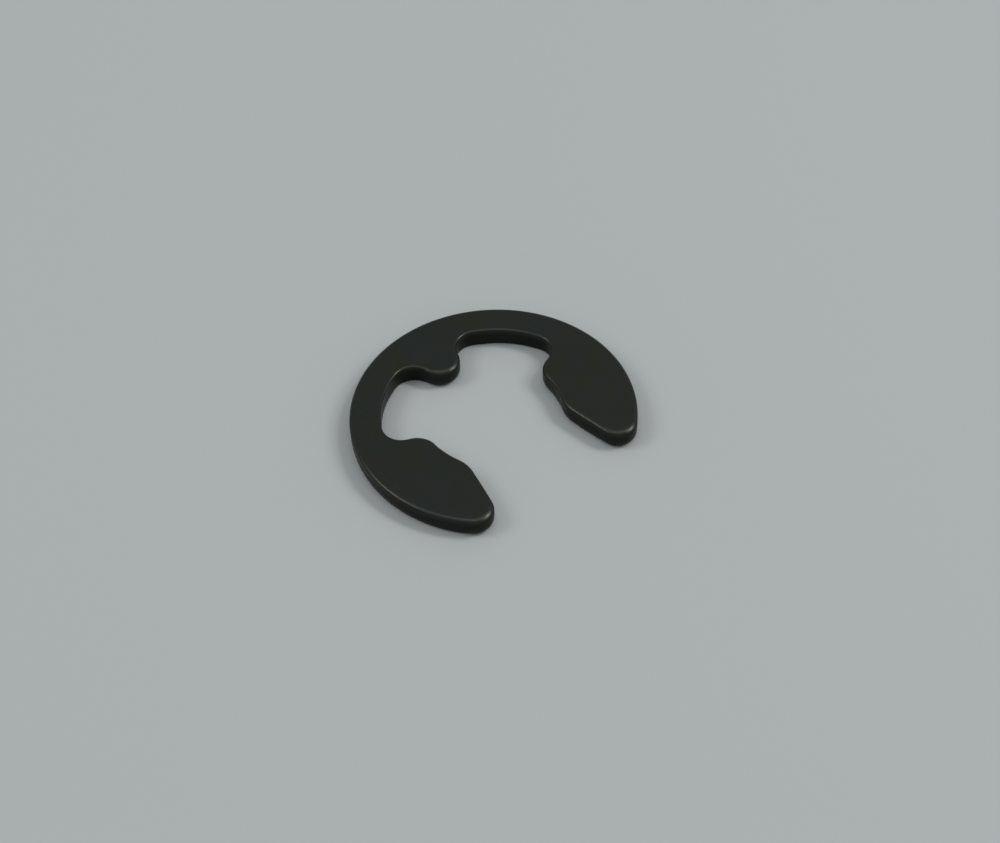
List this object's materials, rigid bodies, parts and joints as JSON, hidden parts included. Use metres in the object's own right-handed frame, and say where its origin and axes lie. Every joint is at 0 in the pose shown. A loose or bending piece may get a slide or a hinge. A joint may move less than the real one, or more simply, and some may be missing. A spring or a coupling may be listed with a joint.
{
  "type": "e-clip",
  "caption": "Open E-shaped retaining ring of black spring steel that snaps sideways into a groove round a shaft and keeps parts from sliding off it.",
  "frame": {"origin": "axis of the shaft that the clip holds, on the clip's lower face", "axes": "+Z along the shaft, from the lower face to the upper face with the rolled edge; +Y from the shaft to the tongue and the back of the ring; the mouth opens towards -Y"},
  "size_m": [0.012, 0.0104, 0.0009],
  "materials": {
    "spring_steel": "satin black oxide"
  },
  "bodies": {
    "root": {"e_clip": "spring_steel"}
  },
  "joints": []
}
